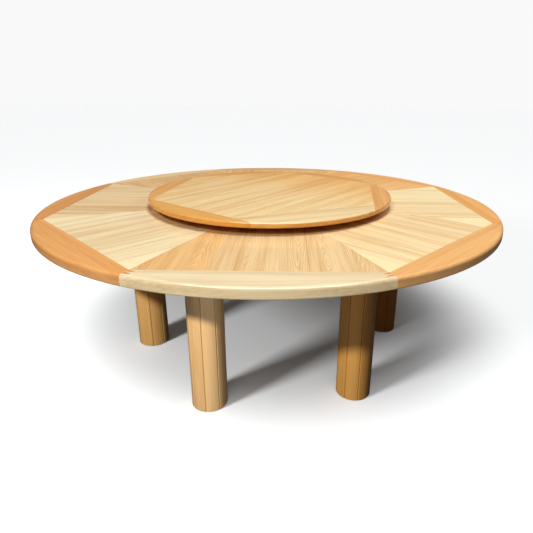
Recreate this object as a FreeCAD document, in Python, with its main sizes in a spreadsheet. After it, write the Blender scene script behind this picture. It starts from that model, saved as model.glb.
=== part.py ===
import FreeCAD, Part
import math
import os
import re

import Sketcher

# A round dining table with a turning tray (lazy susan) on a ball-bearing ring.
# Frame: +Z up, origin on the floor under the centre of the top, -Y towards the front of the table.
# All lengths are millimetres and all angles are degrees.

# Counts and directions that set the layout
SECTORS = 8          # sides of the octagonal field, each with its own rim segment
STAVES = 8           # staves in each coopered leg
SUSAN_SIDES = 6      # sides of the tray's hexagonal field
FINGERS = 2          # tongues in each finger joint of the rim
PLATE_SCREWS = 4
RING_SCREWS = 6
BALLS = 24
FRONT = -90          # direction of the first rim segment
FIRST_LEG = -112.5   # the first leg stands under a corner of the octagon
LEG_TURNS = (19, 31, 27.5, 27.5, 27.5, 35)  # how far each leg is turned about its own axis
LEGS = len(LEG_TURNS)
SUSAN_FRONT = -127.5  # direction of the tray's first rim segment, where its boards end square
SUSAN_WIDE = 1       # the tray's wide rim segment, counted from 0; one of those fitted between the others
OVERCUT = 1          # how far a cut runs out of the face that it starts from
# A rim segment's blank stands outside the finished edge until that is moulded, as shares of the radius
BLANK_END = 1.1      # at its ends
BLANK_MIDDLE = 1.25  # at its middle
BLANK_CUT = 1.6      # where the moulding cut stops
FULL_TURN = 360
ORIGIN = FreeCAD.Vector(0, 0, 0)
UP = FreeCAD.Vector(0, 0, 1)
ACROSS = FreeCAD.Vector(1, 0, 0)

SIZES = (
    ("top_radius", 1000, "table top, centre to edge"),
    ("top_height", 710, "floor to the table's surface"),
    ("rim_corner", 40, "width of the rim at a corner of the octagon"),
    ("board_thickness", 14, "field boards"),
    ("board_width", 143, "field boards"),
    ("core_thickness", 24, "core under the field boards"),
    ("edge_round_top", 12, "rounding of the table's upper edge"),
    ("edge_round_bottom", 8, "rounding of the table's lower edge"),
    ("finger_pitch", 16.5, "one tongue to the next along the joint"),
    ("finger_reach", 23, "tongue tip beyond the joint's radial line"),
    ("finger_root", 3, "finger root behind the joint's radial line"),
    ("finger_tip", 3, "width of a blunt tongue tip"),
    ("tongue_thickness", 8, "loose tongue between core and rim"),
    ("tongue_depth", 12, "how far the tongue enters each side"),
    ("tongue_end", 60, "tongue end to the corner of the octagon"),
    ("tongue_clearance", 0.2, "around a loose tongue"),
    ("leg_radius", 71, "outside of a leg"),
    ("leg_ring_radius", 596, "table centre to leg centre"),
    ("stave_thickness", 28, "at the middle of a stave"),
    ("groove_depth", 3.5, "V-groove between staves"),
    ("groove_half_width", 3, "half of the V-groove's mouth"),
    ("block_clearance", 0.2, "around the blocks inside a leg"),
    ("top_block_length", 70, "block in the top of a leg"),
    ("foot_block_length", 40, "block in the foot of a leg"),
    ("pad_radius", 60, "felt pad under a leg"),
    ("pad_thickness", 3, "felt pad under a leg"),
    ("plate_radius", 50, "steel plate that holds a leg"),
    ("plate_thickness", 4, "steel plate that holds a leg"),
    ("plate_clearance", 0.4, "around the plate in its recess"),
    ("plate_screw_circle", 34, "plate centre to screw"),
    ("plate_screw_length", 20, "head face to tip"),
    ("stud_radius", 6, "stud on the plate"),
    ("stud_length", 38, "below the plate"),
    ("stud_clearance", 0.3, "stud in its sleeve"),
    ("stud_end_room", 6, "free depth below the stud"),
    ("insert_radius", 9, "threaded sleeve in a leg"),
    ("insert_length", 30, "threaded sleeve in a leg"),
    ("insert_clearance", 0.1, "sleeve in its block"),
    ("screw_radius", 2, "shank of every countersunk screw"),
    ("screw_head_radius", 4, "head of every countersunk screw"),
    ("screw_head_height", 2.2, "height of the countersunk cone"),
    ("screw_point", 4, "length of the screw's point"),
    ("screw_clearance", 0.15, "around every screw"),
    ("susan_radius", 553, "tray, centre to edge"),
    ("susan_thickness", 23, "tray boards and rim"),
    ("susan_rim_corner", 13, "width of the tray's rim at a corner of the hexagon"),
    ("susan_wide_extra", 50, "how much wider than the others the wide rim segment is"),
    ("susan_board_width", 136, "tray boards"),
    ("susan_round_top", 8, "rounding of the tray's upper edge"),
    ("susan_round_bottom", 6, "rounding of the tray's lower edge"),
    ("susan_tongue_thickness", 6, "loose tongue in the tray"),
    ("susan_tongue_depth", 9, "how far the tongue enters each side"),
    ("susan_tongue_end", 50, "tongue end to the nearest corner of the hexagon"),
    ("felt_thickness", 2, "felt under the turntable's base"),
    ("base_thickness", 8, "wooden base ring of the turntable"),
    ("base_margin", 25, "base ring beyond the bearing"),
    ("race_radius", 200, "centre to ball centre"),
    ("ball_radius", 4, "bearing balls"),
    ("race_clearance", 0.2, "ball in its race and in its cage"),
    ("ring_height", 12, "bearing rings"),
    ("ring_width", 18, "bearing rings"),
    ("ring_gap", 4, "between the two rings"),
    ("ring_lift", 2, "inner ring stands above the outer one"),
    ("cage_thickness", 1.6, "ball cage"),
    ("cage_height", 11, "ball cage"),
    ("base_screw_bite", 6, "outer ring's screws in the base"),
    ("susan_screw_bite", 14, "inner ring's screws in the tray"),
)

doc = FreeCAD.newDocument("round_table")
sheet = doc.addObject("Spreadsheet::Sheet", "sizes")
for row, (alias, number, note) in enumerate(SIZES, 1):
    sheet.set(f"A{row}", note)
    sheet.set(f"B{row}", str(number))
    sheet.setAlias(f"B{row}", alias)
doc.recompute()

ALIAS = re.compile(r"\b(" + "|".join(alias for alias, number, note in SIZES) + r")\b")
nodes = []


def cells(formula):
    """The formula with each size's name pointed at its cell."""
    return ALIAS.sub(r"sizes.\1", formula)


def value(formula):
    return float(sheet.evalExpression(cells(formula)))


def bind(item, name, formula):
    item.setExpression(name, cells(formula))


def keep(item):
    """Marks an object as a sub-part of the table."""
    nodes.append(item)
    return item


def direction(first, number, count):
    """Direction of one of several pieces that stand evenly spaced round the middle."""
    return first + FULL_TURN * number / count


# Formulas that several sub-parts share
TOP_THICKNESS = "(board_thickness + core_thickness)"
UNDERSIDE = f"(top_height - {TOP_THICKNESS})"
FIELD_CORNER = "(top_radius - rim_corner)"
FIELD_APOTHEM = f"({FIELD_CORNER} * cos({180 / SECTORS}))"
FIELD_HALF_SIDE = f"({FIELD_CORNER} * sin({180 / SECTORS}))"
SUSAN_CORNER = "(susan_radius - susan_rim_corner)"
SUSAN_STEP = FULL_TURN / SUSAN_SIDES
SUSAN_APOTHEM = f"({SUSAN_CORNER} * cos({SUSAN_STEP / 2}))"
SUSAN_WIDE_CHORD = f"({SUSAN_APOTHEM} - susan_wide_extra)"
BASE_FLOOR = "(top_height + felt_thickness)"
OUTER_RING_FLOOR = f"({BASE_FLOOR} + base_thickness)"
INNER_RING_FLOOR = f"({OUTER_RING_FLOOR} + ring_lift)"
SUSAN_FLOOR = f"({INNER_RING_FLOOR} + ring_height)"
RACE_HEIGHT = "((ring_height + ring_lift) / 2)"
OUTER_RING_WALL = "(race_radius + ring_gap / 2)"
INNER_RING_WALL = "(race_radius - ring_gap / 2)"
OUTER_SCREW_CIRCLE = f"({OUTER_RING_WALL} + ring_width / 2)"
INNER_SCREW_CIRCLE = f"({INNER_RING_WALL} - ring_width / 2)"
LEG_BORE = "(leg_radius - stave_thickness)"


def new_body(name):
    return doc.addObject("PartDesign::Body", name)


def origin_feature(body, role):
    return next(item for item in body.Origin.OriginFeatures if item.Role == role)


def new_sketch(body, plane, offset="0"):
    """A sketch on one of the body's own planes, moved along that plane's normal."""
    sketch = body.newObject("Sketcher::SketchObject", f"{body.Name}_sketch")
    sketch.AttachmentSupport = [(origin_feature(body, plane), "")]
    sketch.MapMode = "FlatFace"
    bind(sketch, "AttachmentOffset.Base.z", offset)
    return sketch


def pin_point(sketch, side, end, x, y):
    """Ties one end of a sketch line to formulas for its coordinates."""
    for kind, formula in (("DistanceX", x), ("DistanceY", y)):
        number = sketch.addConstraint(Sketcher.Constraint(kind, -1, 1, side, end, value(formula)))
        bind(sketch, f"Constraints[{number}]", formula)


def draw_outline(sketch, points, arcs=None):
    """Closed outline through points given as formulas. arcs gives, for the side that starts at a point's
    number, its radius and a formula pair for a spot that it bulges towards."""
    arcs = arcs or {}
    spots = [FreeCAD.Vector(value(x), value(y), 0) for x, y in points]
    count = len(points)
    sides = []
    for i, start in enumerate(spots):
        end = spots[(i + 1) % count]
        if i in arcs:
            radius, centre = arcs[i][0], FreeCAD.Vector(value(arcs[i][1][0]), value(arcs[i][1][1]), 0)
            middle = centre + ((start + end) / 2 - centre).normalize() * value(radius)
            curve = Part.Arc(start, middle, end)
        else:
            curve = Part.LineSegment(start, end)
        side = sketch.addGeometry(curve)
        forward = (sketch.getPoint(side, 1) - start).Length < (sketch.getPoint(side, 2) - start).Length
        sides.append((side, (1, 2) if forward else (2, 1)))
    for i, (side, ends) in enumerate(sides):
        following, following_ends = sides[(i + 1) % count]
        sketch.addConstraint(Sketcher.Constraint("Coincident", side, ends[1], following, following_ends[0]))
        pin_point(sketch, side, ends[0], *points[i])
        if i in arcs:
            number = sketch.addConstraint(Sketcher.Constraint("Radius", side, value(arcs[i][0])))
            bind(sketch, f"Constraints[{number}]", arcs[i][0])
    return sketch


def draw_rectangle(sketch, low_x, low_y, high_x, high_y):
    return draw_outline(sketch, [(low_x, low_y), (high_x, low_y), (high_x, high_y), (low_x, high_y)])


def draw_polygon(sketch, corner_radius, count):
    """Regular polygon with a flat side towards +X."""
    angles = [direction(0, k + 0.5, count) for k in range(count)]
    points = [(f"{corner_radius} * cos({angle})", f"{corner_radius} * sin({angle})") for angle in angles]
    return draw_outline(sketch, points)


def draw_circle(sketch, x, y, radius):
    centre = FreeCAD.Vector(value(x), value(y), 0)
    circle = sketch.addGeometry(Part.Circle(centre, UP, value(radius)))
    pin_point(sketch, circle, 3, x, y)
    number = sketch.addConstraint(Sketcher.Constraint("Radius", circle, value(radius)))
    bind(sketch, f"Constraints[{number}]", radius)
    return sketch


def pad(body, sketch, length):
    feature = body.newObject("PartDesign::Pad", f"{body.Name}_pad")
    feature.Profile = sketch
    bind(feature, "Length", length)
    return feature


def pocket(body, sketch, depth, along_normal):
    feature = body.newObject("PartDesign::Pocket", f"{body.Name}_pocket")
    feature.Profile = sketch
    feature.Reversed = along_normal
    bind(feature, "Length", depth)
    return feature


def turned(body, sketch, kind):
    """Turns a profile about the body's Z axis; kind is Revolution to add and Groove to cut."""
    feature = body.newObject(f"PartDesign::{kind}", f"{body.Name}_{kind.lower()}")
    feature.Profile = sketch
    feature.ReferenceAxis = (sketch, ["V_Axis"])
    feature.Angle = FULL_TURN
    return feature


def repeat_round(body, feature, count):
    doc.recompute()
    pattern = body.newObject("PartDesign::PolarPattern", f"{body.Name}_pattern")
    pattern.Originals = [feature]
    pattern.Axis = (origin_feature(body, "Z_Axis"), [""])
    pattern.Angle = FULL_TURN
    pattern.Occurrences = count
    body.Tip = pattern
    return pattern


def copy_of(master, label, turn=0, x="0", y="0", z="0", upside_down=False):
    """A placed copy that follows its master."""
    link = doc.addObject("App::Link", label)
    link.LinkedObject = master
    link.LinkTransform = True
    link.Label = label
    rotation = FreeCAD.Rotation(UP, turn)
    if upside_down:
        rotation = rotation * FreeCAD.Rotation(ACROSS, 180)
    link.Placement = FreeCAD.Placement(ORIGIN, rotation)
    for axis, formula in zip("xyz", (x, y, z)):
        bind(link, f"Placement.Base.{axis}", formula)
    return link


def round_copies(master, label, count, radius="0", start=0, z="0", upside_down=False):
    """Copies of one piece, evenly spaced about the Z axis."""
    copies = []
    for k in range(count):
        angle = direction(start, k, count)
        x, y = f"{radius} * cos({angle})", f"{radius} * sin({angle})"
        copies.append(copy_of(master, f"{label}_{k + 1}", angle, x, y, z, upside_down))
    return copies


def group(label, pieces):
    """Several separate solids under one name."""
    compound = doc.addObject("Part::Compound", label)
    compound.Label = label
    compound.Links = pieces
    return compound


def difference(label, base, tool):
    cut = doc.addObject("Part::Cut", label)
    cut.Label = label
    cut.Base = base
    cut.Tool = tool
    return cut


# Countersunk screws, and the holes that take them

def screw(name, length, clearance="0"):
    """Countersunk screw with its head's face on the XY plane and its point upwards. With a clearance it is
    the shape of the hole that takes the screw, which also runs out through the head's face."""
    body = new_body(name)
    sketch = new_sketch(body, "XZ_Plane")
    shank, head = f"(screw_radius + {clearance})", f"(screw_head_radius + {clearance})"
    points = [("0", "0"), (head, "0"), (shank, f"screw_head_height + {clearance}")]
    if clearance == "0":
        points += [(shank, f"{length} - screw_point"), ("0", length)]
    else:
        points[:1] = [("0", f"-{OVERCUT}"), (head, f"-{OVERCUT}")]
        points += [(shank, f"{length} + {clearance}"), ("0", f"{length} + {clearance}")]
    draw_outline(sketch, points)
    turned(body, sketch, "Revolution")
    return body


# Table top

def finger_steps(side):
    """The joint's line at one end of a rim segment, as distances out from the field's corner and across the
    radial line. side is 1 on a segment with tongues and -1 on one with the slots for them."""
    steps = [("0", "0")]
    for k in range(FINGERS):
        tip, root = f"finger_pitch * ({k} + 1 / 3)", f"finger_pitch * ({k} + 5 / 6)"
        steps += [(f"{tip} - finger_tip / 2", f"{side} * finger_reach"),
                  (f"{tip} + finger_tip / 2", f"{side} * finger_reach"),
                  (f"{root} - finger_tip / 2", f"{-side} * finger_root"),
                  (f"{root} + finger_tip / 2", f"{-side} * finger_root")]
    steps[-1] = (f"top_radius * {BLANK_END} - {FIELD_CORNER}", f"{-side} * finger_root")
    return steps


def mould_edge(body, radius, thickness, rounds):
    """Turns a rim segment's outer edge to its radius, with both corners rounded."""
    top_round, bottom_round = rounds
    above, below, beyond = f"{thickness} + {OVERCUT}", f"-{OVERCUT}", f"{radius} * {BLANK_CUT}"
    edge = [(f"{radius} - {top_round}", above), (f"{radius} - {top_round}", thickness),
            (radius, f"{thickness} - {top_round}"), (radius, bottom_round),
            (f"{radius} - {bottom_round}", "0"), (f"{radius} - {bottom_round}", below),
            (beyond, below), (beyond, above)]
    arcs = {1: (top_round, (f"{radius} - {top_round}", f"{thickness} - {top_round}")),
            3: (bottom_round, (f"{radius} - {bottom_round}", bottom_round))}
    return turned(body, draw_outline(new_sketch(body, "XZ_Plane"), edge, arcs), "Groove")


def rim_segment(name, steps):
    """One piece of the top's rim, with its middle towards +X: a chord inside, jointed ends, a moulded edge."""
    half = 180 / SECTORS
    upper = [(f"({FIELD_CORNER} + {out}) * cos({half}) - ({over}) * sin({half})",
              f"({FIELD_CORNER} + {out}) * sin({half}) + ({over}) * cos({half})") for out, over in steps]
    lower = [(x, f"-({y})") for x, y in upper]
    body = new_body(name)
    outline = lower + [(f"top_radius * {BLANK_MIDDLE}", "0")] + upper[::-1]
    pad(body, draw_outline(new_sketch(body, "XY_Plane"), outline), TOP_THICKNESS)
    mould_edge(body, "top_radius", TOP_THICKNESS, ("edge_round_top", "edge_round_bottom"))
    return body


def tongue_slot(body, apothem, half_length, middle, thickness, depth, outwards):
    """Stopped slot for a loose tongue in the face at the apothem."""
    sketch = new_sketch(body, "YZ_Plane", apothem)
    reach = f"({half_length} + tongue_clearance)"
    rise = f"({thickness} / 2 + tongue_clearance)"
    draw_rectangle(sketch, f"-{reach}", f"{middle} - {rise}", reach, f"{middle} + {rise}")
    return pocket(body, sketch, f"{depth} + tongue_clearance", outwards)


def loose_tongue(name, apothem, half_length, middle, thickness, depth):
    box = doc.addObject("Part::Box", name)
    bind(box, "Length", f"2 * {depth}")
    bind(box, "Width", f"2 * {half_length}")
    bind(box, "Height", thickness)
    bind(box, "Placement.Base.x", f"{apothem} - {depth}")
    bind(box, "Placement.Base.y", f"-{half_length}")
    bind(box, "Placement.Base.z", f"{middle} - {thickness} / 2")
    return box


def make_top_rim():
    tongue_half = f"({FIELD_HALF_SIDE} - tongue_end)"
    middle = "core_thickness / 2"
    for name, side in (("slotted_rim", -1), ("tongued_rim", 1)):
        body = rim_segment(name, finger_steps(side))
        tongue_slot(body, FIELD_APOTHEM, tongue_half, middle, "tongue_thickness", "tongue_depth", True)
        first = 0 if side < 0 else 1
        for k in range(first, SECTORS, 2):
            keep(copy_of(body, f"top_rim_{k + 1}", direction(FRONT, k, SECTORS), z=UNDERSIDE))
    tongue = loose_tongue("rim_tongue", FIELD_APOTHEM, tongue_half, middle,
                          "tongue_thickness", "tongue_depth")
    keep(group("rim_tongues", round_copies(tongue, "rim_tongue_at", SECTORS, z=UNDERSIDE)))


def field_board(name, inner, outer, mirrored):
    """A board parallel to the sector's middle line, between two distances from it, mitred at the sector's
    edge and square at the rim, where the outermost one runs out to a point. The mirrored one is turned over
    onto the other side of that line."""
    wedge = doc.addObject("Part::Wedge", name)
    slope = f"tan({180 / SECTORS})"
    outer_start = FIELD_APOTHEM if outer == FIELD_HALF_SIDE else f"{outer} / {slope}"
    for side, formula in (("Ymin", inner), ("Ymax", outer), ("Xmin", f"{inner} / {slope}"),
                          ("X2min", outer_start), ("Xmax", FIELD_APOTHEM), ("X2max", FIELD_APOTHEM),
                          ("Zmin", "0"), ("Z2min", "0"), ("Zmax", "board_thickness"),
                          ("Z2max", "board_thickness")):
        bind(wedge, side, formula)
    if mirrored:
        wedge.Placement = FreeCAD.Placement(ORIGIN, FreeCAD.Rotation(ACROSS, 180))
        bind(wedge, "Placement.Base.z", "board_thickness")
    return wedge


def make_top_fields():
    count = math.ceil(value(f"{FIELD_HALF_SIDE} / board_width"))
    boards = []
    for k in range(count):
        outer = FIELD_HALF_SIDE if k == count - 1 else f"board_width * {k + 1}"
        for mirrored in (False, True):
            name = f"field_board_{len(boards) + 1}"
            boards.append(field_board(name, f"board_width * {k}", outer, mirrored))
    sector = group("field_boards", boards)
    for k in range(SECTORS):
        turn = direction(FRONT, k, SECTORS)
        keep(copy_of(sector, f"top_field_{k + 1}", turn, z="top_height - board_thickness"))


def make_top_core():
    """Octagonal core with slots for the rim's tongues and, below, a recess and screw holes for each leg."""
    body = new_body("octagon_core")
    pad(body, draw_polygon(new_sketch(body, "XY_Plane"), FIELD_CORNER, SECTORS), "core_thickness")
    slot = tongue_slot(body, FIELD_APOTHEM, f"({FIELD_HALF_SIDE} - tongue_end)", "core_thickness / 2",
                       "tongue_thickness", "tongue_depth", False)
    repeat_round(body, slot, SECTORS)
    leg_x, leg_y = f"leg_ring_radius * cos({FIRST_LEG})", f"leg_ring_radius * sin({FIRST_LEG})"
    recess = draw_circle(new_sketch(body, "XY_Plane"), leg_x, leg_y, "plate_radius + plate_clearance")
    repeat_round(body, pocket(body, recess, "plate_thickness", True), LEGS)
    holes = new_sketch(body, "XY_Plane", "plate_thickness")
    for k in range(PLATE_SCREWS):
        angle = direction(FIRST_LEG, k, PLATE_SCREWS)
        draw_circle(holes, f"{leg_x} + plate_screw_circle * cos({angle})",
                    f"{leg_y} + plate_screw_circle * sin({angle})", "screw_radius + screw_clearance")
    depth = "plate_screw_length - plate_thickness + screw_clearance"
    repeat_round(body, pocket(body, holes, depth, True), LEGS)
    keep(copy_of(body, "top_core", z=UNDERSIDE))


# Legs

def stave():
    """One eighth of a leg: flat inside, mitred sides, round outside with half a V-groove at each side."""
    half = 180 / STAVES
    along, across = "sqrt(leg_radius ^ 2 - groove_half_width ^ 2)", "groove_half_width"
    upper = [(LEG_BORE, f"{LEG_BORE} * tan({half})"),
             (f"(leg_radius - groove_depth) * cos({half})", f"(leg_radius - groove_depth) * sin({half})"),
             (f"{along} * cos({half}) + {across} * sin({half})",
              f"{along} * sin({half}) - {across} * cos({half})")]
    lower = [(x, f"-({y})") for x, y in upper]
    body = new_body("stave")
    outline = draw_outline(new_sketch(body, "XY_Plane"), lower + upper[::-1],
                           {len(lower) - 1: ("leg_radius", ("0", "0"))})
    pad(body, outline, f"{UNDERSIDE} - pad_thickness")
    return body


def leg_block(name, length):
    body = new_body(name)
    corner = f"(({LEG_BORE} - block_clearance) / cos({180 / STAVES}))"
    pad(body, draw_polygon(new_sketch(body, "XY_Plane"), corner, STAVES), length)
    return body


def leg_plate():
    """Round plate with a stud below and countersunk holes."""
    body = new_body("plate_blank")
    profile = [("0", "-stud_length"), ("stud_radius", "-stud_length"), ("stud_radius", "0"),
               ("plate_radius", "0"), ("plate_radius", "plate_thickness"), ("0", "plate_thickness")]
    turned(body, draw_outline(new_sketch(body, "XZ_Plane"), profile), "Revolution")
    hole = screw("plate_screw_hole", "plate_screw_length", "screw_clearance")
    holes = group("plate_holes", round_copies(hole, "plate_hole", PLATE_SCREWS, "plate_screw_circle"))
    return difference("drilled_plate", body, holes)


def threaded_sleeve():
    body = new_body("sleeve")
    sketch = new_sketch(body, "XZ_Plane")
    draw_rectangle(sketch, "stud_radius + stud_clearance", "-insert_length", "insert_radius", "0")
    turned(body, sketch, "Revolution")
    return body


def make_legs():
    column = group("staves", round_copies(stave(), "stave_at", STAVES))
    foot_block = leg_block("foot_block", "foot_block_length")
    top_block = leg_block("top_block", "top_block_length")
    bore = draw_circle(new_sketch(top_block, "XY_Plane", "top_block_length"), "0", "0",
                       "insert_radius + insert_clearance")
    pocket(top_block, bore, "stud_length + stud_end_room", False)
    felt = doc.addObject("Part::Cylinder", "felt_pad")
    bind(felt, "Radius", "pad_radius")
    bind(felt, "Height", "pad_thickness")
    for k, turn in enumerate(LEG_TURNS):
        angle = direction(FIRST_LEG, k, LEGS)
        spot = (f"leg_ring_radius * cos({angle})", f"leg_ring_radius * sin({angle})")
        keep(copy_of(column, f"leg_{k + 1}_staves", turn, *spot, "pad_thickness"))
        keep(copy_of(top_block, f"leg_{k + 1}_top_block", turn, *spot, f"{UNDERSIDE} - top_block_length"))
        keep(copy_of(foot_block, f"leg_{k + 1}_foot_block", turn, *spot, "pad_thickness"))
    ring = {"count": LEGS, "radius": "leg_ring_radius", "start": FIRST_LEG}
    keep(group("leg_pads", round_copies(felt, "leg_pad", **ring)))
    keep(group("leg_sleeves", round_copies(threaded_sleeve(), "leg_sleeve", z=UNDERSIDE, **ring)))
    keep(group("leg_plates", round_copies(leg_plate(), "leg_plate", z=UNDERSIDE, **ring)))
    screws = group("one_plates_screws", round_copies(screw("plate_screw", "plate_screw_length"),
                                                     "plate_screw_at", PLATE_SCREWS, "plate_screw_circle"))
    keep(group("leg_plate_screws", round_copies(screws, "leg_screws", z=UNDERSIDE, **ring)))


# Turning tray

def susan_chord(number):
    """Distance from the tray's centre to the inner side of one of its rim segments."""
    return SUSAN_WIDE_CHORD if number % SUSAN_SIDES == SUSAN_WIDE else SUSAN_APOTHEM


def joint_beside(chord, x):
    """How far beside a rim segment's middle line its neighbour's inner side passes, at x along that line.
    chord is the neighbour's distance from the tray's centre."""
    return f"(({chord} - {x} * cos({SUSAN_STEP})) / sin({SUSAN_STEP}))"


# Half the length, the middle's height, the thickness and the depth of a loose tongue in the tray
SUSAN_TONGUE = (f"({joint_beside(SUSAN_WIDE_CHORD, SUSAN_APOTHEM)} - susan_tongue_end)",
                "susan_thickness / 2", "susan_tongue_thickness", "susan_tongue_depth")


def susan_segment(name, chord, fitted):
    """One piece of the tray's rim, with its middle towards +X. A fitted one ends along its neighbours' inner
    sides, and the others run straight out to the tray's edge."""
    blank = f"susan_radius * {BLANK_END}"
    upper = [(x, joint_beside(SUSAN_APOTHEM, x) if fitted else blank) for x in (chord, blank)]
    lower = [(x, f"-({y})") for x, y in upper]
    body = new_body(name)
    pad(body, draw_outline(new_sketch(body, "XY_Plane"), lower + upper[::-1]), "susan_thickness")
    mould_edge(body, "susan_radius", "susan_thickness", ("susan_round_top", "susan_round_bottom"))
    tongue_slot(body, chord, *SUSAN_TONGUE, True)
    return body


def susan_tongues(label, clearance, start, z):
    """Loose tongues along the hexagon's sides. With a clearance they are the shape of the slots for them."""
    half_length, middle, thickness, depth = SUSAN_TONGUE
    grown = (f"({half_length} + {clearance})", middle, f"({thickness} + 2 * {clearance})",
             f"({depth} + {clearance})")
    masters = {chord: loose_tongue(f"{label}_{name}", chord, *grown)
               for name, chord in (("wide", SUSAN_WIDE_CHORD), ("plain", SUSAN_APOTHEM))}
    copies = []
    for k in range(SUSAN_SIDES):
        turn = direction(start, k, SUSAN_SIDES)
        copies.append(copy_of(masters[susan_chord(k)], f"{label}_at_{k + 1}", turn, z=z))
    return group(label, copies)


def susan_panel():
    """Hexagonal panel inside the tray's rim, with slots for the tongues and pilot holes for the bearing."""
    corners = []
    for k in range(SUSAN_SIDES):
        angle, along = direction(0, k, SUSAN_SIDES), susan_chord(k)
        beside = joint_beside(susan_chord(k + 1), along)
        corners.append((f"{along} * cos({angle}) - {beside} * sin({angle})",
                        f"{along} * sin({angle}) + {beside} * cos({angle})"))
    body = new_body("hexagon_field")
    pad(body, draw_outline(new_sketch(body, "XY_Plane"), corners), "susan_thickness")
    pilot = draw_circle(new_sketch(body, "XY_Plane"), INNER_SCREW_CIRCLE, "0",
                        "screw_radius + screw_clearance")
    repeat_round(body, pocket(body, pilot, "susan_screw_bite + screw_clearance", True), RING_SCREWS)
    return difference("slotted_field", body, susan_tongues("susan_slots", "tongue_clearance", 0, "0"))


def make_susan_tray():
    """Hexagonal field of parallel boards in six rim segments. Every other one of these runs straight out to
    the tray's edge, and the rest are fitted between them."""
    wide = susan_segment("wide_rim", SUSAN_WIDE_CHORD, True)
    fitted = susan_segment("fitted_rim", SUSAN_APOTHEM, True)
    through = susan_segment("through_rim", SUSAN_APOTHEM, False)
    for k in range(SUSAN_SIDES):
        if k == SUSAN_WIDE:
            rim = wide
        else:
            rim = fitted if k % 2 else through
        keep(copy_of(rim, f"susan_rim_{k + 1}", direction(SUSAN_FRONT, k, SUSAN_SIDES), z=SUSAN_FLOOR))
    keep(susan_tongues("susan_tongues", "0", SUSAN_FRONT, SUSAN_FLOOR))

    panel = susan_panel()
    half_count = math.ceil(value(f"{SUSAN_CORNER} / susan_board_width"))
    boards = []
    for k in range(-half_count, half_count):
        strip = doc.addObject("Part::Box", f"susan_strip_{len(boards) + 1}")
        bind(strip, "Length", f"2 * {SUSAN_CORNER}")
        bind(strip, "Width", "susan_board_width")
        bind(strip, "Height", "susan_thickness")
        bind(strip, "Placement.Base.x", f"-{SUSAN_CORNER}")
        bind(strip, "Placement.Base.y", f"susan_board_width * {k}")
        board = doc.addObject("Part::Common", f"susan_board_{len(boards) + 1}")
        board.Base = panel
        board.Tool = strip
        boards.append(board)
    keep(copy_of(group("susan_boards", boards), "susan_field", SUSAN_FRONT, z=SUSAN_FLOOR))


def flat_ring(name, inner, outer, height):
    body = new_body(name)
    turned(body, draw_rectangle(new_sketch(body, "XZ_Plane"), inner, "0", outer, height), "Revolution")
    return body


def bearing_ring(name, inner, outer, race_height):
    """Ring with half of the ball race in its wall."""
    body = flat_ring(name, inner, outer, "ring_height")
    race = draw_circle(new_sketch(body, "XZ_Plane"), "race_radius", race_height,
                       "ball_radius + race_clearance")
    turned(body, race, "Groove")
    return body


def make_turntable():
    """Felt, wooden base ring, two bearing rings with balls in a cage between them, and their screws."""
    base_edge = f"{OUTER_RING_WALL} + ring_width + base_margin"
    felt = flat_ring("felt_ring", OUTER_RING_WALL, base_edge, "felt_thickness")
    keep(copy_of(felt, "turntable_felt", z="top_height"))

    outer_screw = {"length": "(ring_height + base_screw_bite)"}
    outer_ring = {"count": RING_SCREWS, "radius": OUTER_SCREW_CIRCLE, "upside_down": True}
    outer_hole = screw("outer_screw_hole", clearance="screw_clearance", **outer_screw)
    base_cut = group("base_holes", round_copies(outer_hole, "base_hole", z="base_thickness + ring_height",
                                                **outer_ring))
    base = flat_ring("base_blank", OUTER_RING_WALL, base_edge, "base_thickness")
    keep(copy_of(difference("base_ring", base, base_cut), "turntable_base", z=BASE_FLOOR))

    outer_blank = bearing_ring("outer_blank", OUTER_RING_WALL, f"{OUTER_RING_WALL} + ring_width", RACE_HEIGHT)
    outer_cut = group("outer_holes", round_copies(outer_hole, "outer_hole", z="ring_height", **outer_ring))
    keep(copy_of(difference("outer_ring", outer_blank, outer_cut), "bearing_outer_ring", z=OUTER_RING_FLOOR))
    keep(group("outer_ring_screws", round_copies(screw("outer_screw", **outer_screw), "outer_screw_at",
                                                 z=f"{OUTER_RING_FLOOR} + ring_height", **outer_ring)))

    inner_screw = {"length": "(ring_height + susan_screw_bite)"}
    inner_ring = {"count": RING_SCREWS, "radius": INNER_SCREW_CIRCLE, "start": SUSAN_FRONT}
    inner_blank = bearing_ring("inner_blank", f"{INNER_RING_WALL} - ring_width", INNER_RING_WALL,
                               f"{RACE_HEIGHT} - ring_lift")
    inner_hole = screw("inner_screw_hole", clearance="screw_clearance", **inner_screw)
    inner_cut = group("inner_holes", round_copies(inner_hole, "inner_hole", **inner_ring))
    keep(copy_of(difference("inner_ring", inner_blank, inner_cut), "bearing_inner_ring", z=INNER_RING_FLOOR))
    keep(group("inner_ring_screws", round_copies(screw("inner_screw", **inner_screw), "inner_screw_at",
                                                 z=INNER_RING_FLOOR, **inner_ring)))

    cage = new_body("cage_band")
    band = new_sketch(cage, "XZ_Plane")
    draw_rectangle(band, "race_radius - cage_thickness / 2", "-cage_height / 2",
                   "race_radius + cage_thickness / 2", "cage_height / 2")
    turned(cage, band, "Revolution")
    window = draw_circle(new_sketch(cage, "YZ_Plane"), "0", "0", "ball_radius + race_clearance")
    repeat_round(cage, pocket(cage, window, "2 * race_radius", True), BALLS)
    race_level = f"{OUTER_RING_FLOOR} + {RACE_HEIGHT}"
    keep(copy_of(cage, "bearing_cage", z=race_level))
    ball = doc.addObject("Part::Sphere", "ball")
    bind(ball, "Radius", "ball_radius")
    keep(group("bearing_balls", round_copies(ball, "ball_at", BALLS, "race_radius", z=race_level)))


make_top_rim()
make_top_fields()
make_top_core()
make_legs()
make_susan_tray()
make_turntable()
doc.recompute()

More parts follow.
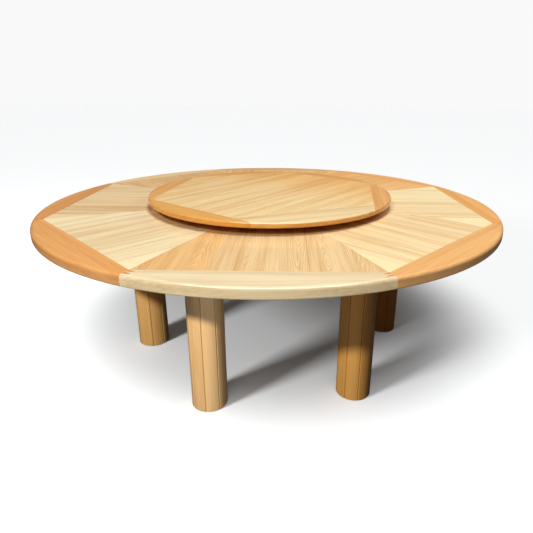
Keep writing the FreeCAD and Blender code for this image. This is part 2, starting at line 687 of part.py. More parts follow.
faults = [item.Name for item in doc.Objects if "Invalid" in item.State or "Error" in item.State]
faults += [node.Label for node in nodes if node.Shape.isNull() or not node.Shape.isValid()]
if faults:
    raise RuntimeError("not built: " + ", ".join(faults))
os.makedirs("parts", exist_ok=True)
for node in nodes:
    node.Shape.exportStep(f"parts/{node.Label}.step")
    print(node.Label, len(node.Shape.Solids), round(node.Shape.Volume))
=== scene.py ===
import math

import bpy
from mathutils import Euler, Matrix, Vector

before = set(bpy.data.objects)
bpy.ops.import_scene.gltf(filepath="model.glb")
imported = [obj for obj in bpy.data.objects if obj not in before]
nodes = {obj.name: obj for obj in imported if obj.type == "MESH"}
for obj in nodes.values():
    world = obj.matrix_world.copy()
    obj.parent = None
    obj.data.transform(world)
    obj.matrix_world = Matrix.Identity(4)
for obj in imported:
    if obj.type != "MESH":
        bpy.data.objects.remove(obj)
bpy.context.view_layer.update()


# Layout of the table, in metres and degrees

FIELD_SIDES = 8
FIELD_FRONT = -90
FIELD_BOARD = 0.143
FIELD_APOTHEM = 0.887
TRAY_SIDES = 6
TRAY_FRONT = -127.5
TRAY_BOARD = 0.136
TRAY_APOTHEM = 0.468
TRAY_EDGE = 0.7485
LEG_CIRCLE = 0.596
LEG_FRONT = -112.5
LEG_RADIUS = 0.071
LEG_TURNS = (19, 31, 27.5, 27.5, 27.5, 35)
STAVES = 8
STAVE_ANGLE = 2 * math.pi / STAVES
GROOVE_FOOT, GROOVE_LIP = 0.0038, 0.0022
HIDDEN_BOARD = 0.11


class Finish:
    """A material being made: its node tree, with short calls for the nodes that the finishes use."""

    def __init__(self, name):
        self.material = bpy.data.materials.new(name)
        self.material.use_nodes = True
        self.tree = self.material.node_tree
        self.tree.nodes.clear()
        self.surface = self.add("ShaderNodeBsdfPrincipled")
        out = self.add("ShaderNodeOutputMaterial")
        self.tree.links.new(self.surface.outputs["BSDF"], out.inputs["Surface"])

    def add(self, kind, **settings):
        node = self.tree.nodes.new(kind)
        for key, setting in settings.items():
            setattr(node, key, setting)
        return node

    def feed(self, socket, source):
        """A socket takes a number, a colour or another node's output."""
        if isinstance(source, bpy.types.NodeSocket):
            self.tree.links.new(source, socket)
        else:
            socket.default_value = source

    def give(self, key, source):
        """One of the surface's own sockets takes a number, a colour or another node's output."""
        self.feed(self.surface.inputs[key], source)

    def calc(self, operation, first, second=0.0, third=0.0):
        node = self.add("ShaderNodeMath", operation=operation)
        for socket, source in zip(node.inputs, (first, second, third)):
            self.feed(socket, source)
        return node.outputs[0]

    def length(self, first, second):
        """How far out a point lies, from two distances at right angles."""
        squares = self.calc("ADD", self.calc("POWER", first, 2.0), self.calc("POWER", second, 2.0))
        return self.calc("SQRT", squares)

    def mixed(self, first, first_share, second, second_share):
        """Two patterns added up, each by its share."""
        return self.calc("MULTIPLY_ADD", first, first_share, self.calc("MULTIPLY", second, second_share))

    def vector(self, x, y, z):
        node = self.add("ShaderNodeCombineXYZ")
        for socket, source in zip(node.inputs, (x, y, z)):
            self.feed(socket, source)
        return node.outputs[0]

    def noise(self, place, scale, detail=2.0, roughness=0.5):
        node = self.add("ShaderNodeTexNoise")
        self.feed(node.inputs["Vector"], place)
        node.inputs["Scale"].default_value = scale
        node.inputs["Detail"].default_value = detail
        node.inputs["Roughness"].default_value = roughness
        return node.outputs["Fac"]

    def chances(self, number):
        """Three numbers from 0 to 1 that depend on a whole number alone."""
        node = self.add("ShaderNodeTexWhiteNoise", noise_dimensions="1D")
        self.feed(node.inputs["W"], number)
        parts = self.add("ShaderNodeSeparateColor")
        self.feed(parts.inputs[0], node.outputs["Color"])
        return parts.outputs[0], parts.outputs[1], parts.outputs[2]

    def spread(self, source, low, high, to_low=0.0, to_high=1.0):
        """Eases from to_low to to_high while the source goes from low to high."""
        node = self.add("ShaderNodeMapRange", interpolation_type="SMOOTHSTEP")
        self.feed(node.inputs["Value"], source)
        limits = {"From Min": low, "From Max": high, "To Min": to_low, "To Max": to_high}
        for key, number in limits.items():
            node.inputs[key].default_value = number
        return node.outputs["Result"]

    def ramp(self, source, *stops):
        node = self.add("ShaderNodeValToRGB")
        line = node.color_ramp.elements
        while len(line) < len(stops):
            line.new(0.5)
        for element, (position, colour) in zip(line, stops):
            element.position = position
            element.color = (*colour, 1)
        self.feed(node.inputs["Fac"], source)
        return node.outputs["Color"]

    def blend(self, share, first, second, kind="MIX"):
        node = self.add("ShaderNodeMix", data_type="RGBA", blend_type=kind)
        self.feed(node.inputs["Factor"], share)
        colour_sockets = [s for s in node.inputs if s.type == "RGBA"]
        for socket, source in zip(colour_sockets, (first, second)):
            self.feed(socket, (*source, 1) if isinstance(source, tuple) else source)
        return next(s for s in node.outputs if s.type == "RGBA")

    def place(self, turn=0.0, middle=(0.0, 0.0, 0.0)):
        """Coordinates on the piece, measured from a middle point and along a turned direction."""
        where = self.add("ShaderNodeTexCoord")
        mapping = self.add("ShaderNodeMapping", vector_type="TEXTURE")
        mapping.inputs["Location"].default_value = middle
        mapping.inputs["Rotation"].default_value = (0, 0, math.radians(turn))
        self.feed(mapping.inputs["Vector"], where.outputs["Object"])
        parts = self.add("ShaderNodeSeparateXYZ")
        self.feed(parts.inputs[0], mapping.outputs[0])
        return parts.outputs[0], parts.outputs[1], parts.outputs[2]

    def bump(self, height, distance):
        node = self.add("ShaderNodeBump")
        node.inputs["Distance"].default_value = distance
        node.inputs["Strength"].default_value = 1.0
        self.feed(node.inputs["Height"], height)
        self.give("Normal", node.outputs[0])


# Woods

def wood(pale, dark, base, ring, soft, streak, vary):
    """A wood's look. pale and dark are the two ends of its tones, and base is where it lies between them.
    ring, soft, streak and vary are the strength of the growth rings, of the broad and of the fine streaks,
    and of the change from board to board."""
    return {"pale": pale, "dark": dark, "base": base,
            "ring": ring, "soft": soft, "streak": streak, "vary": vary}


def toned(look, *shares):
    """The same wood with its red, green and blue multiplied."""
    ends = {end: tuple(c * share for c, share in zip(look[end], shares)) for end in ("pale", "dark")}
    return {**look, **ends}


PALE = wood((0.83, 0.67, 0.42), (0.58, 0.38, 0.17), base=0.24, ring=0.2, soft=0.24, streak=0.8, vary=0.1)
IVORY = wood((0.88, 0.60, 0.30), (0.68, 0.41, 0.17), base=0.2, ring=0.2, soft=0.2, streak=0.4, vary=0.1)
CREAM = wood((0.87, 0.65, 0.35), (0.67, 0.40, 0.15), base=0.3, ring=0.1, soft=0.6, streak=0.6, vary=0.1)
AMBER = wood((0.86, 0.46, 0.165), (0.62, 0.26, 0.06), base=0.3, ring=0.12, soft=0.3, streak=0.6, vary=0.2)
BROWN = wood((0.78, 0.44, 0.19), (0.56, 0.28, 0.10), base=0.3, ring=0.15, soft=0.2, streak=0.5, vary=0.2)
TAN = wood((0.90, 0.635, 0.335), (0.65, 0.355, 0.12), base=0.5, ring=-0.7, soft=0.25, streak=0.7, vary=0.2)
STRAW = wood((0.94, 0.76, 0.46), (0.68, 0.40, 0.15), base=0.33, ring=0.2, soft=0.34, streak=0.9, vary=0.3)
HONEY = wood((0.97, 0.72, 0.38), (0.74, 0.40, 0.12), base=0.38, ring=0.3, soft=0.3, streak=1.0, vary=0.3)
PLAIN = wood((0.66, 0.46, 0.25), (0.50, 0.31, 0.15), base=0.3, ring=0.3, soft=0.15, streak=0.6, vary=0.3)

# Tints laid over a wood where it differs, and painted shade: the seam tint also darkens the legs' grooves,
# and the edge shades darken a tray segment's side below its rounded edge
SEAM_AND_GROOVE_SHADE_TINT = (0.45, 0.28, 0.15)
FINGER_TINT = (0.87, 0.57, 0.39)
CREAM_EDGE_SHADE = (0.90, 0.60, 0.25)
AMBER_EDGE_SHADE = (0.92, 0.82, 0.56)
WARM_TINT = (0.96, 0.83, 0.67)
WARM_END = (0.98, 0.80, 0.58)

# Figures of the grain: repeats per metre lengthways and crossways, and the noise's detail and roughness
WANDER = (2.6, 11.0, 3.0, 0.5)
RIPPLE = (6.0, 30.0, 2.0, 0.5)
RING_FADE = (1.7, 16.0, 2.0, 0.5)
BROAD_STREAKS = (1.1, 24.0, 2.0, 0.55)
FINE_BANDS = (2.0, 70.0, 2.0, 0.6)
FINE_LINES = (4.0, 190.0, 2.0, 0.6)
FIBRES = (9.0, 420.0, 3.0, 0.65)
FLECKS = (90.0, 900.0, 1.0, 0.5)

# The stretch of noise over which a figure eases in, and the strengths that it has at the stretch's ends
RING_FADE_EASE = (0.35, 0.65, 0.25, 1.0)
STREAK_EASE = (0.33, 0.67, -0.5, 0.5)
FLECK_EASE = (0.64, 0.74, 0.0, 1.0)

# A growth ring rises slowly outwards and ends sharply
RING_RISE = 2.5
RING_END = (1.0, 0.82)

# Strength of the finer figures in the tone, and in the relief
BAND_TONE, LINE_TONE, FIBRE_TONE, FLECK_TONE = 0.8, 0.9, 0.5, 0.14
FIBRE_RELIEF, FLECK_RELIEF = 0.6, -0.5

# How far boards differ in where they lie in the tree, and how the tree's rings run, in metres
BOARD_RUN = 7.0
BOARD_SIDE = 0.12
WANDER_WIDTH = 0.07
RIPPLE_WIDTH = 0.006
HEART_DEPTH = 0.11
RING_TAPER = 0.05
RING_WIDTH = 0.0075
STRAIGHT_TAPER = 0.02

# Surfaces of the woods: roughness between the ends of the noise, and the depth of the relief in metres
NOISE_ENDS = (0.2, 0.8)
LACQUER_ROUGHNESS = (0.38, 0.5)
LACQUER_RELIEF = 0.0002
LACQUER_SHINE = 0.15
COAT_SHARE, COAT_ROUGHNESS = 0.6, 0.12
BARE_ROUGHNESS = (0.6, 0.75)
BARE_RELIEF = 0.0004

# A lacquered wood's tones begin a little paler than its pale tone
PALEST_SHARE = 1.08
PALE_AT = 0.25

# Seams, and the painted shade on tray edges and in grooves: where their tint fades out, in metres, and its
# share where it is strongest
SEAM_FADE, SEAM_SHARE = (0.0002, 0.0012), 0.22
DARK_SEAM_FADE, DARK_SEAM_SHARE = (0.0004, 0.0018), 0.5
TRAY_EDGE_SHADE_FADE = 0.004
GROOVE_SHADE_SHARE = 0.7

# How far past the joint line, as a slope, a finger's tint is full
FINGER_FADE = 0.004

# How close two board numbers count as the same
SAME_BOARD = 0.1


def wood_figure(finish, along, across, depth, board, look, taper=RING_TAPER, rings=RING_WIDTH):
    """Grain of one board: growth rings cut lengthways, streaks, fibres and flecks. Gives its tone, its
    relief and its fibres."""
    first, second, third = finish.chances(board)

    def centred(source):
        return finish.calc("SUBTRACT", source, 0.5)

    run = finish.calc("MULTIPLY_ADD", first, BOARD_RUN, along)
    side = finish.calc("MULTIPLY_ADD", centred(second), BOARD_SIDE, across)

    def grain(lengthways, crossways, detail, roughness):
        where = finish.vector(finish.calc("MULTIPLY", run, lengthways),
                              finish.calc("MULTIPLY", side, crossways),
                              finish.calc("MULTIPLY", depth, crossways))
        return finish.noise(where, 1.0, detail, roughness)

    heart = finish.mixed(run, taper, grain(*WANDER), WANDER_WIDTH)
    heart = finish.calc("PINGPONG", finish.calc("ADD", heart, depth), HEART_DEPTH)
    radius = finish.calc("MULTIPLY_ADD", grain(*RIPPLE), RIPPLE_WIDTH, finish.length(side, heart))
    ring = finish.calc("FRACT", finish.calc("DIVIDE", radius, rings))
    ring = finish.calc("MULTIPLY", finish.calc("POWER", ring, RING_RISE), finish.spread(ring, *RING_END))
    ring = finish.calc("MULTIPLY", ring, finish.spread(grain(*RING_FADE), *RING_FADE_EASE))
    streaks = finish.spread(grain(*BROAD_STREAKS), *STREAK_EASE)
    fibres = grain(*FIBRES)
    flecks = finish.spread(grain(*FLECKS), *FLECK_EASE)
    figures = ((ring, look["ring"]),
               (streaks, look["soft"]),
               (centred(grain(*FINE_BANDS)), BAND_TONE * look["streak"]),
               (centred(grain(*FINE_LINES)), LINE_TONE * look["streak"]),
               (centred(fibres), FIBRE_TONE),
               (flecks, FLECK_TONE),
               (centred(third), look["vary"]))
    tone = look["base"]
    for figure, strength in figures:
        tone = finish.calc("MULTIPLY_ADD", figure, strength, tone)
    relief = finish.mixed(fibres, FIBRE_RELIEF, flecks, FLECK_RELIEF)
    return tone, relief, fibres


def lacquered(finish, look, tone, relief, fibres, stain_and_shade=()):
    """Satin lacquer over the grain. stain_and_shade lists (share, colour) for the wood's own marks and for
    painted shade: each colour is laid over the wood where its share is 1."""
    palest = tuple(min(1.0, c * PALEST_SHARE) for c in look["pale"])
    colour = finish.ramp(tone, (0.0, palest), (PALE_AT, look["pale"]), (1.0, look["dark"]))
    for share, tint in stain_and_shade:
        colour = finish.blend(share, colour, tint, "MULTIPLY")
    finish.give("Base Color", colour)
    finish.give("Roughness", finish.spread(fibres, *NOISE_ENDS, *LACQUER_ROUGHNESS))
    finish.give("Specular IOR Level", LACQUER_SHINE)
    finish.give("Coat Weight", COAT_SHARE)
    finish.give("Coat Roughness", COAT_ROUGHNESS)
    finish.bump(relief, LACQUER_RELIEF)
    return finish.material


def boarded_wood(name, look, turn, width, taper=RING_TAPER, rings=RING_WIDTH, seed=0.0, paler=(), warm=(),
                 dark_seam=None, warm_end=None):
    """Boards of one width laid side by side, with a seam on the line through the middle. paler and warm
    list boards of another tone, counted from that line. dark_seam is where across them a darker seam lies,
    and warm_end where along them they grow warmer, from and to."""
    finish = Finish(name)
    along, across, up = finish.place(turn)
    share = finish.calc("DIVIDE", across, width)
    board = finish.calc("FLOOR", share)
    local = finish.calc("MULTIPLY", finish.calc("SUBTRACT", finish.calc("FRACT", share), 0.5), width)
    number = finish.calc("ADD", board, seed)
    tone, relief, fibres = wood_figure(finish, along, local, up, number, look, taper, rings)

    def is_board(count):
        return finish.calc("COMPARE", board, float(count), SAME_BOARD)

    for count, step in paler:
        tone = finish.calc("SUBTRACT", tone, finish.calc("MULTIPLY", is_board(count), step))
    to_edge = finish.calc("SUBTRACT", width / 2, finish.calc("ABSOLUTE", local))
    stain_and_shade = [(finish.spread(to_edge, *SEAM_FADE, SEAM_SHARE, 0.0), SEAM_AND_GROOVE_SHADE_TINT)]
    if dark_seam is not None:
        to_seam = finish.calc("ABSOLUTE", finish.calc("SUBTRACT", across, dark_seam))
        stain_and_shade.append((finish.spread(to_seam, *DARK_SEAM_FADE, DARK_SEAM_SHARE, 0.0), SEAM_AND_GROOVE_SHADE_TINT))
    for count in warm:
        stain_and_shade.append((is_board(count), WARM_TINT))
    if warm_end is not None:
        stain_and_shade.append((finish.spread(along, *warm_end), WARM_END))
    return lacquered(finish, look, tone, relief, fibres, stain_and_shade)


def rim_wood(name, look, turn, apothem, seed, finger_sides=None, edge_shade=None):
    """A solid rim segment, with its grain along the chord. Where the rim has fingers, finger_sides is its
    number of segments, and past the joint line the fingers show darker end grain. edge_shade is painted
    shade, a darker and warmer tint laid over the side of a tray segment, below its rounded edge."""
    finish = Finish(name)
    across, along, up = finish.place(turn)
    local = finish.calc("SUBTRACT", across, apothem)
    tone, relief, fibres = wood_figure(finish, along, local, up, seed, look, STRAIGHT_TAPER)
    stain_and_shade = []
    if finger_sides is not None:
        slope = finish.calc("DIVIDE", finish.calc("ABSOLUTE", along), across)
        joint = math.tan(math.pi / finger_sides)
        stain_and_shade.append((finish.spread(slope, joint, joint + FINGER_FADE), FINGER_TINT))
    if edge_shade is not None:
        # Painted shade: below the rounded edge, a tray segment's side is darker and warmer.
        stain_and_shade.append((finish.spread(up, TRAY_EDGE, TRAY_EDGE + TRAY_EDGE_SHADE_FADE, 1.0, 0.0), edge_shade))
    return lacquered(finish, look, tone, relief, fibres, stain_and_shade)


def stave_wood(name, look, middle, turn, seed):
    """Upright staves round a leg's axis, each with its own piece of grain, with painted shade deep in the
    grooves.
    """
    finish = Finish(name)
    x, y, up = finish.place(turn, middle)
    angle = finish.calc("DIVIDE", finish.calc("ARCTAN2", y, x), STAVE_ANGLE)
    stave = finish.calc("FLOOR", finish.calc("ADD", angle, 0.5))
    local = finish.calc("MULTIPLY", finish.calc("SUBTRACT", angle, stave), LEG_RADIUS * STAVE_ANGLE)
    out = finish.length(x, y)
    number = finish.calc("ADD", stave, seed)
    tone, relief, fibres = wood_figure(finish, up, local, out, number, look, STRAIGHT_TAPER)
    # Painted shade: deep in each groove the staves are darkened with the seam tint.
    groove_shade = finish.spread(out, LEG_RADIUS - GROOVE_FOOT, LEG_RADIUS - GROOVE_LIP, GROOVE_SHADE_SHARE, 0.0)
    return lacquered(finish, look, tone, relief, fibres, [(groove_shade, SEAM_AND_GROOVE_SHADE_TINT)])


def plain_wood(name, turn=0.0, upright=False):
    """Unlacquered wood of the hidden pieces."""
    finish = Finish(name)
    x, y, z = finish.place(turn)
    along, across, depth = (z, x, y) if upright else (x, y, z)
    board = finish.calc("FLOOR", finish.calc("DIVIDE", across, HIDDEN_BOARD))
    middle = finish.calc("MULTIPLY", finish.calc("ADD", board, 0.5), HIDDEN_BOARD)
    local = finish.calc("SUBTRACT", across, middle)
    tone, relief, fibres = wood_figure(finish, along, local, depth, board, PLAIN)
    finish.give("Base Color", finish.ramp(tone, (0.0, PLAIN["pale"]), (1.0, PLAIN["dark"])))
    finish.give("Roughness", finish.spread(fibres, *NOISE_ENDS, *BARE_ROUGHNESS))
    finish.bump(relief, BARE_RELIEF)
    return finish.material


# Metal, felt and plastic

MOTTLE_ENDS = (0.3, 0.7)


def mottled(finish, pattern, darker, tone):
    """A colour between two tones, as the pattern goes."""
    low, high = MOTTLE_ENDS
    return finish.ramp(pattern, (low, darker), (high, tone))


def shaded(tone, share):
    return tuple(c * share for c in tone)


def metal(name, tone, roughness, scale):
    """Turned metal with fine tool marks and a little dullness in patches."""
    finish = Finish(name)
    x, y, z = finish.place()
    out = finish.calc("MULTIPLY", finish.length(x, y), scale)
    up = finish.calc("MULTIPLY", z, scale)
    marks = finish.noise(finish.vector(out, up, 0.0), scale=1.0)
    patches = finish.noise(finish.vector(x, y, z), scale=60.0, detail=3.0)
    dullness = finish.mixed(marks, 0.5, patches, 0.5)
    finish.give("Base Color", mottled(finish, patches, shaded(tone, 0.8), tone))
    finish.give("Metallic", 1.0)
    finish.give("Roughness", finish.spread(dullness, *MOTTLE_ENDS, roughness - 0.08, roughness + 0.1))
    finish.bump(marks, distance=0.00003)
    return finish.material


def felt(name, tone):
    """Pressed felt: matted fibres in two sizes."""
    finish = Finish(name)
    where = finish.vector(*finish.place())
    mat = finish.noise(where, scale=900.0, detail=4.0, roughness=0.7)
    clumps = finish.noise(where, scale=140.0, detail=3.0)
    nap = finish.mixed(mat, 0.6, clumps, 0.4)
    finish.give("Base Color", mottled(finish, nap, shaded(tone, 0.55), tone))
    finish.give("Roughness", finish.spread(mat, *NOISE_ENDS, to_low=0.9, to_high=1.0))
    finish.give("Sheen Weight", 0.4)
    finish.bump(nap, distance=0.0006)
    return finish.material


def moulded(name, tone):
    """Moulded plastic with a fine matt skin."""
    finish = Finish(name)
    where = finish.vector(*finish.place())
    skin = finish.noise(where, scale=1800.0)
    cloud = finish.noise(where, scale=80.0)
    finish.give("Base Color", mottled(finish, cloud, shaded(tone, 0.85), tone))
    finish.give("Roughness", finish.spread(skin, *NOISE_ENDS, to_low=0.42, to_high=0.55))
    finish.bump(skin, distance=0.00005)
    return finish.material


def dress(name, material):
    """Gives a CAD node its finish."""
    slots = nodes[name].data.materials
    slots.clear()
    slots.append(material)


def sector_turn(number, sides, first):
    return first + 360 * number / sides


# Numbers that pick the grain: the first piece's, where it isn't 0, and the step to the next piece

RIM_GRAIN, RIM_GRAIN_STEP = 3.0, 11
FIELD_GRAIN_STEP = 20.0
LEG_GRAIN_STEP = 50.0
TRAY_RIM_GRAIN, TRAY_RIM_GRAIN_STEP = 200.0, 7
TRAY_GRAIN = 300.0

# Table top: looks go round from the front, against the clock, and boards count from a sector's middle line

# The toned looks hold each wood's own tone and painted light as well: pieces on the left and at the left
# back are darker and warmer as painted shade, pieces on the right lighter as painted light.
RIM_WOODS_AND_PAINTED_LIGHT = (PALE,
             toned(AMBER, 1.03, 1.06, 1.12),
             toned(AMBER, 1.05, 1.02, 0.95),
             toned(AMBER, 1.04, 1.0, 0.95),
             BROWN,
             IVORY,
             toned(AMBER, 0.89, 0.80, 0.74),
             toned(AMBER, 0.97, 0.89, 0.84))
FIELD_WOODS_AND_PAINTED_LIGHT = (TAN,
               toned(STRAW, 1.04, 0.99, 0.92),
               toned(STRAW, 1.05, 1.02, 0.97),
               toned(TAN, 1.05, 0.86, 0.66),
               toned(TAN, 0.98, 0.88, 0.74),
               toned(TAN, 0.92, 0.84, 0.77),
               toned(STRAW, 0.91, 0.82, 0.75),
               STRAW)
FRONT_BOARDS = {"taper": 0.075, "rings": 0.0062, "warm": (-3, -2), "dark_seam": FIELD_BOARD}
SIDE_BOARDS = {"paler": ((-3, 0.5), (2, 0.5))}
BACK_BOARDS = {}
FIELD_BOARDS = (FRONT_BOARDS, SIDE_BOARDS, SIDE_BOARDS, BACK_BOARDS,
                BACK_BOARDS, BACK_BOARDS, SIDE_BOARDS, SIDE_BOARDS)
for k in range(FIELD_SIDES):
    turn = sector_turn(k, FIELD_SIDES, FIELD_FRONT)
    segment = rim_wood(f"rim_wood_{k + 1}", RIM_WOODS_AND_PAINTED_LIGHT[k], turn, FIELD_APOTHEM,
                       seed=RIM_GRAIN + RIM_GRAIN_STEP * k, finger_sides=FIELD_SIDES)
    dress(f"top_rim_{k + 1}", segment)
    sector = boarded_wood(f"field_wood_{k + 1}", FIELD_WOODS_AND_PAINTED_LIGHT[k], turn, FIELD_BOARD,
                          seed=FIELD_GRAIN_STEP * k, **FIELD_BOARDS[k])
    dress(f"top_field_{k + 1}", sector)
dress("top_core", plain_wood("core_wood"))
dress("rim_tongues", plain_wood("tongue_wood", turn=90))

# Legs: each has a pale and a dark tone, from the front one on, against the clock. The legs are one wood,
# and their tones differ from leg to leg as painted light and shade.

BACK_LEG = ((0.58, 0.33, 0.12), (0.44, 0.22, 0.07))
LEG_PAINTED_TONES = (((0.61, 0.37, 0.155), (0.45, 0.245, 0.09)),
             ((0.465, 0.235, 0.056), (0.34, 0.15, 0.032)),
             ((0.80, 0.30, 0.07), (0.60, 0.19, 0.035)),
             BACK_LEG,
             BACK_LEG,
             ((0.54, 0.31, 0.10), (0.405, 0.207, 0.054)))
block_wood = plain_wood("block_wood", upright=True)
for k, (turn, tones) in enumerate(zip(LEG_TURNS, LEG_PAINTED_TONES)):
    angle = math.radians(sector_turn(k, len(LEG_TURNS), LEG_FRONT))
    middle = (LEG_CIRCLE * math.cos(angle), LEG_CIRCLE * math.sin(angle), 0.0)
    look = wood(*tones, base=0.35, ring=0.2, soft=0.15, streak=0.7, vary=0.45)
    staves = stave_wood(f"leg_wood_{k + 1}", look, middle, turn, seed=LEG_GRAIN_STEP * k)
    dress(f"leg_{k + 1}_staves", staves)
    dress(f"leg_{k + 1}_top_block", block_wood)
    dress(f"leg_{k + 1}_foot_block", block_wood)
steel = metal("steel", (0.62, 0.62, 0.64), roughness=0.32, scale=900.0)
grey_felt = felt("grey_felt", (0.10, 0.085, 0.07))
dress("leg_pads", grey_felt)
for name in ("leg_sleeves", "leg_plates", "leg_plate_screws"):
    dress(name, steel)

# Turning tray: looks go round from the left front segment, against the clock

TRAY_BACK = toned(AMBER, 0.94, 0.9, 0.8)
TRAY_LOOKS = (toned(AMBER, 0.95, 0.9, 0.68), CREAM, AMBER, TRAY_BACK, TRAY_BACK, TRAY_BACK)
TRAY_WARM_END = (0.15, -0.45)
for k, look in enumerate(TRAY_LOOKS):
    turn = sector_turn(k, TRAY_SIDES, TRAY_FRONT)
    # Painted shade for each tray segment's side, below its rounded edge.
    edge_shade = CREAM_EDGE_SHADE if look is CREAM else AMBER_EDGE_SHADE
    segment = rim_wood(f"tray_rim_wood_{k + 1}", look, turn, TRAY_APOTHEM,
                       seed=TRAY_RIM_GRAIN + TRAY_RIM_GRAIN_STEP * k, edge_shade=edge_shade)
    dress(f"susan_rim_{k + 1}", segment)
tray_boards = boarded_wood("tray_wood", HONEY, TRAY_FRONT, TRAY_BOARD,
                           seed=TRAY_GRAIN, warm_end=TRAY_WARM_END)
dress("susan_field", tray_boards)
dress("susan_tongues", plain_wood("tray_tongue_wood", turn=90))
dress("turntable_felt", grey_felt)
dress("turntable_base", plain_wood("base_wood"))
aluminium = metal("aluminium", (0.80, 0.81, 0.83), roughness=0.36, scale=1400.0)
dress("bearing_outer_ring", aluminium)
dress("bearing_inner_ring", aluminium)
dress("bearing_cage", moulded("cage_plastic", (0.12, 0.12, 0.13)))
for name in ("outer_ring_screws", "inner_ring_screws", "bearing_balls"):
    dress(name, steel)


# Studio: a pale floor, soft lights and the camera

FLOOR_RADIUS = 60
FLOOR_DARK, FLOOR_PALE = (0.848, 0.862, 0.872), (0.868, 0.882, 0.892)
FLOOR_BOUNCE = (0.08, 0.08, 0.08)
BACKGROUND_TONE = (0.947, 0.947, 0.947, 1)
BACKGROUND_LIGHT = 0.07
WHITE = (1, 1, 1)

# Painted light: the floor glows more outside an oval round the table, whose middle lies further back than
# the table's, so the table's shadow on the floor fades out there
HALO_BACK = 0.3
HALO_DEPTH = 0.85
HALO_IN, HALO_OUT = 0.85, 1.4
PAINTED_GLOW_IN, PAINTED_GLOW_OUT = 0.028, 0.44

# Camera: the photo's width, focal length and middle in pixels, and its place in metres and degrees
PHOTO_WIDTH = 533
FOCAL_LENGTH = 436.3
PHOTO_MIDDLE = (285.3, 246.7)
CAMERA_PLACE = (0.077, -2.027, 1.1765)
CAMERA_PITCH = 19.02
CAMERA_TURN = 0.18
CAMERA_ROLL = 0.5
SENSOR_WIDTH = 36.0


def studio_floor():
    """Wide white floor with the fine tooth of paper, and painted light: a glow that the camera alone sees,
    growing outside an oval round the table. It throws little light back on the legs.
    """
    bpy.ops.mesh.primitive_circle_add(vertices=128, radius=FLOOR_RADIUS, fill_type="NGON")
    floor = bpy.context.object
    floor.name = "floor"
    finish = Finish("floor_paper")
    x, y, z = finish.place()
    tooth = finish.noise(finish.vector(x, y, z), scale=700.0)
    seen = mottled(finish, tooth, FLOOR_DARK, FLOOR_PALE)
    in_view = finish.add("ShaderNodeLightPath").outputs["Is Camera Ray"]
    # Painted light: the camera sees the floor glow more outside an oval round the table.
    depth = finish.calc("DIVIDE", finish.calc("SUBTRACT", y, HALO_BACK), HALO_DEPTH)
    painted_glow = finish.spread(finish.length(x, depth), HALO_IN, HALO_OUT, PAINTED_GLOW_IN, PAINTED_GLOW_OUT)
    finish.give("Base Color", finish.blend(in_view, FLOOR_BOUNCE, seen))
    finish.give("Roughness", 0.95)
    finish.give("Specular IOR Level", 0.0)
    finish.give("Emission Color", (*WHITE, 1))
    finish.give("Emission Strength", finish.calc("MULTIPLY", painted_glow, in_view))
    floor.data.materials.append(finish.material)
    return floor


def hang_lamp(lamp, pieces, facing):
    """Puts a lamp in the scene. It lights these pieces alone, and every piece still throws its shadow."""
    holder = bpy.data.objects.new(lamp.name, lamp)
    holder.rotation_euler = Vector(facing).to_track_quat("-Z", "Y").to_euler()
    bpy.context.scene.collection.objects.link(holder)
    lit = bpy.data.collections.new(lamp.name + "_lights")
    for piece in pieces:
        lit.objects.link(piece)
    holder.light_linking.receiver_collection = lit
    return holder


def studio_sky(name, pieces, source, power, spread, colour=WHITE):
    """Even light from one direction, as from a white ceiling or a wide window. The lacquer doesn't mirror
    it."""
    lamp = bpy.data.lights.new(name, "SUN")
    lamp.energy = power
    lamp.color = colour
    lamp.angle = math.radians(spread)
    holder = hang_lamp(lamp, pieces, -Vector(source))
    holder.visible_glossy = False


def studio_light(name, pieces, place, target, size, power, colour=WHITE, shape="RECTANGLE", mirrored=True,
                 lights=True):
    """A lamp that faces a target. mirrored says whether the lacquer mirrors it, lights whether it does
    more."""
    lamp = bpy.data.lights.new(name, "AREA")
    lamp.shape = shape
    lamp.size, lamp.size_y = size
    lamp.energy = power
    lamp.color = colour
    holder = hang_lamp(lamp, pieces, Vector(target) - Vector(place))
    holder.location = place
    holder.visible_glossy = mirrored
    holder.visible_diffuse = lights


def studio_background():
    """Pale grey where the camera sees it, and a weak white light all round."""
    world = bpy.data.worlds.new("studio")
    world.use_nodes = True
    bpy.context.scene.world = world
    tree = world.node_tree
    tree.nodes.clear()
    out = tree.nodes.new("ShaderNodeOutputWorld")
    seen = tree.nodes.new("ShaderNodeBackground")
    seen.inputs["Color"].default_value = BACKGROUND_TONE
    lighting = tree.nodes.new("ShaderNodeBackground")
    lighting.inputs["Color"].default_value = (*WHITE, 1)
    lighting.inputs["Strength"].default_value = BACKGROUND_LIGHT
    path = tree.nodes.new("ShaderNodeLightPath")
    both = tree.nodes.new("ShaderNodeMixShader")
    tree.links.new(path.outputs["Is Camera Ray"], both.inputs[0])
    tree.links.new(lighting.outputs[0], both.inputs[1])
    tree.links.new(seen.outputs[0], both.inputs[2])
    tree.links.new(both.outputs[0], out.inputs["Surface"])


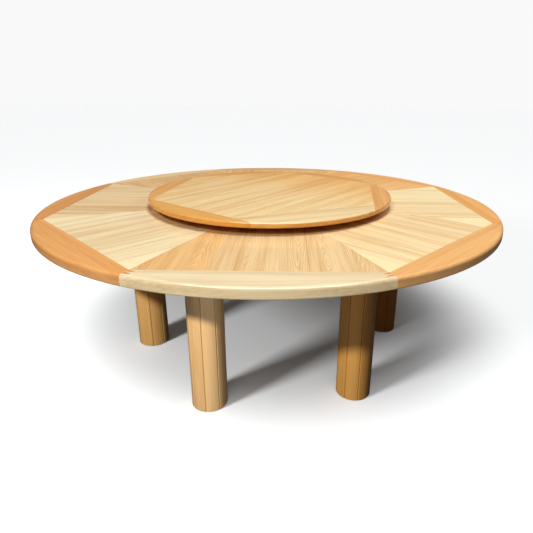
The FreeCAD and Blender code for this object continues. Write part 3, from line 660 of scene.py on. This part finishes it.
def photo_camera():
    """The photo's camera. Its middle lies off the picture's middle, so the lens is shifted."""
    lens = bpy.data.cameras.new("camera")
    lens.sensor_width = SENSOR_WIDTH
    lens.lens = SENSOR_WIDTH * FOCAL_LENGTH / PHOTO_WIDTH
    lens.shift_x = -(PHOTO_MIDDLE[0] - PHOTO_WIDTH / 2) / PHOTO_WIDTH
    lens.shift_y = (PHOTO_MIDDLE[1] - PHOTO_WIDTH / 2) / PHOTO_WIDTH
    camera = bpy.data.objects.new("camera", lens)
    camera.location = CAMERA_PLACE
    tilt = Euler((math.radians(90 - CAMERA_PITCH), 0, math.radians(CAMERA_TURN)), "XYZ").to_matrix()
    roll = Euler((0, 0, math.radians(CAMERA_ROLL)), "XYZ").to_matrix()
    camera.rotation_euler = (tilt @ roll).to_euler()
    bpy.context.scene.collection.objects.link(camera)
    bpy.context.scene.camera = camera


def pieces_named(*starts):
    return [piece for name, piece in nodes.items() if name.startswith(starts)]


floor = studio_floor()
studio_background()
leg_pieces = pieces_named("leg_")
top_pieces = [piece for piece in nodes.values() if piece not in leg_pieces]
edge_pieces = pieces_named("top_rim_", "susan_rim_")

# Table top and tray
MIDDLE_OF_TOP = (0, 0, 0.7)
studio_sky("front_window", top_pieces, source=(-0.64, -0.77, 1.15), power=1.15, spread=8,
           colour=(1.1, 0.97, 0.82))
studio_sky("back_window", top_pieces, source=(0.1, 0.33, 1.0), power=2.68, spread=26,
           colour=(0.96, 1.01, 1.06))
studio_light("right_window", top_pieces, place=(3.0, 1.5, 2.8), target=MIDDLE_OF_TOP, size=(1.0, 1.0),
             power=36, mirrored=False)

# Edges: a softbox that the lacquer mirrors and that does no more, and lamps nearly level with the rim
studio_light("softbox", edge_pieces, place=(0.15, -1.8, 2.6), target=(0.15, -1.0, 0.7), size=(2.9, 1.5),
             power=150, lights=False)
studio_light("edge_key", edge_pieces, place=(-1.56, -2.03, 1.0), target=MIDDLE_OF_TOP, size=(0.4, 0.4),
             power=6, shape="DISK", mirrored=False)
studio_light("edge_front", edge_pieces, place=(-0.1, -3.0, 0.85), target=MIDDLE_OF_TOP, size=(1.6, 0.3),
             power=15, mirrored=False)
studio_light("front_edge", pieces_named("top_rim_1"), place=(-0.2, -3.0, 0.5), target=(0, -1, 0.7),
             size=(1.0, 0.3), power=4.2, colour=(1.06, 1.0, 0.6), mirrored=False)

# Legs: one lamp that draws the top's shadow on them, a fill for each of three legs, and one from behind
FILL_SIZE = (0.8, 0.6)
studio_light("leg_key", leg_pieces, place=(-1.27, -2.5, 2.12), target=(0, -0.4, 0.3), size=(0.15, 0.15),
             power=126, shape="DISK")
studio_light("front_fill", pieces_named("leg_1_"), place=(0.2, -1.9, 0.45), target=(-0.2, -0.5, 0.4),
             size=FILL_SIZE, power=7.5, colour=(0.87, 0.97, 1.16))
studio_light("right_fill", pieces_named("leg_2_"), place=(-0.4, -1.8, 0.5), target=(0.2, -0.5, 0.4),
             size=FILL_SIZE, power=5.0, colour=(1.05, 0.97, 1.0))
studio_light("left_fill", pieces_named("leg_6_"), place=(-0.6, -1.8, 0.5), target=(-0.6, -0.1, 0.4),
             size=FILL_SIZE, power=2.7, colour=(1.05, 0.7, 0.55))
studio_light("back_fill", leg_pieces, place=(0.6, 3.2, 1.2), target=(0, 0, 0.4), size=(2.4, 1.6), power=20)

# Floor
studio_sky("floor_ceiling", [floor], source=(-0.02, -0.48, 1.0), power=1.76, spread=52)
studio_light("floor_key", [floor], place=(-2.65, -2.5, 1.95), target=(0, 0, 0.3), size=(0.8, 0.8),
             power=140, shape="DISK")
bpy.context.scene.view_settings.view_transform = "Standard"
photo_camera()
